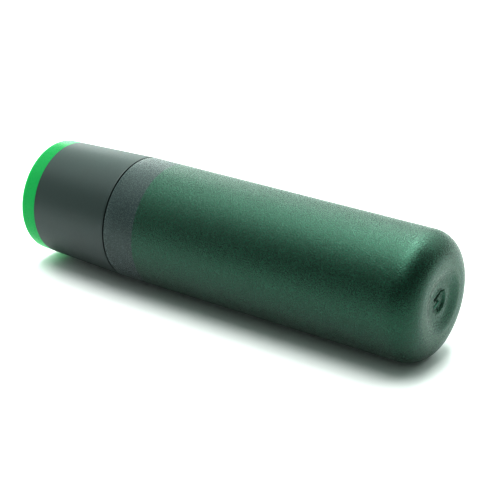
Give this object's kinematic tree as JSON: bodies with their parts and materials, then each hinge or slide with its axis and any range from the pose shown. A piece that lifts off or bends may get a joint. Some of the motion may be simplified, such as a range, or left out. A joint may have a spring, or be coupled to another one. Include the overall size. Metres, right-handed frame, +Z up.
{
  "type": "traffic baton light",
  "caption": "Short hand-held traffic baton light: a frosted green wand with a rounded tip screws onto a grey-green base with a bright green tail ring and push button.",
  "frame": {"origin": "centre of the bounding box, on the surface that the baton lies on", "axes": "+X along the baton towards the rounded tip of the wand; +Z up, with the baton lying on its side; the tail ring and button are at -X"},
  "size_m": [0.1466, 0.04, 0.0399],
  "materials": {
    "frosted_green_shell": "frosted translucent, fine pebble grain",
    "grey_green_shell": "smooth satin",
    "bright_green_guide": "translucent, semi-gloss",
    "dark_collar": "moulded, matte",
    "black_plastic": "moulded, matte",
    "black_rubber": "matte",
    "white_plastic": "matte",
    "green_board": "solder mask, semi-gloss",
    "cell_jacket": "printed metal jacket, satin",
    "nickel": "nickel plated, bright",
    "led_package": "gloss"
  },
  "bodies": {
    "wand": {"wand_shell": "frosted_green_shell", "snap_ring": "nickel"},
    "carousel": {"carousel_frame": "black_plastic", "rear_contact": "nickel", "return_strip": "nickel", "cell_1": "cell_jacket", "cell_2": "cell_jacket", "cell_3": "cell_jacket", "cell_spring_1": "nickel", "cell_spring_2": "nickel", "cell_spring_3": "nickel", "cell_contact_1": "nickel", "cell_contact_2": "nickel", "cell_contact_3": "nickel", "driver_board": "green_board", "driver_chip": "black_plastic", "driver_coil": "black_plastic", "driver_capacitor": "cell_jacket", "mast_socket": "white_plastic", "mast_board": "white_plastic", "mast_cap": "white_plastic", "mast_led_left_1": "led_package", "mast_led_left_2": "led_package", "mast_led_left_3": "led_package", "mast_led_left_4": "led_package", "mast_led_left_5": "led_package", "mast_led_left_6": "led_package", "mast_led_right_1": "led_package", "mast_led_right_2": "led_package", "mast_led_right_3": "led_package", "mast_led_right_4": "led_package", "mast_led_right_5": "led_package", "mast_led_right_6": "led_package"},
    "base": {"base_shell": "grey_green_shell", "collar": "dark_collar", "wand_seal": "black_rubber", "tail_ring": "bright_green_guide", "button_seal": "black_rubber", "switch_body": "black_plastic", "tail_board": "green_board", "return_pin": "nickel", "tail_spring": "nickel", "board_screw_1": "nickel", "board_screw_2": "nickel", "board_screw_3": "nickel", "tail_led_1": "led_package", "tail_led_2": "led_package", "tail_led_3": "led_package", "tail_led_4": "led_package"},
    "button": {"tail_button": "black_rubber", "switch_plunger": "white_plastic"}
  },
  "joints": [
    {"name": "base_unscrew", "type": "hinge", "parent": "wand", "child": "carousel", "pos_m": [0, 0, 0.01996], "axis": [-1, 0, 0], "range_deg": [0, 450]},
    {"name": "base_travel", "type": "slide", "parent": "carousel", "child": "base", "axis": [-1, 0, 0], "range_m": [0, 0.0075]},
    {"name": "button_press", "type": "slide", "parent": "base", "child": "button", "axis": [1, 0, 0], "range_m": [0, 0.0012], "stiffness_N_per_m": 1500, "springref_m": -0.0013}
  ],
  "couplings": [
    {"joint": "base_travel", "follows": "base_unscrew", "m_per_rad": 0.0009549}
  ]
}
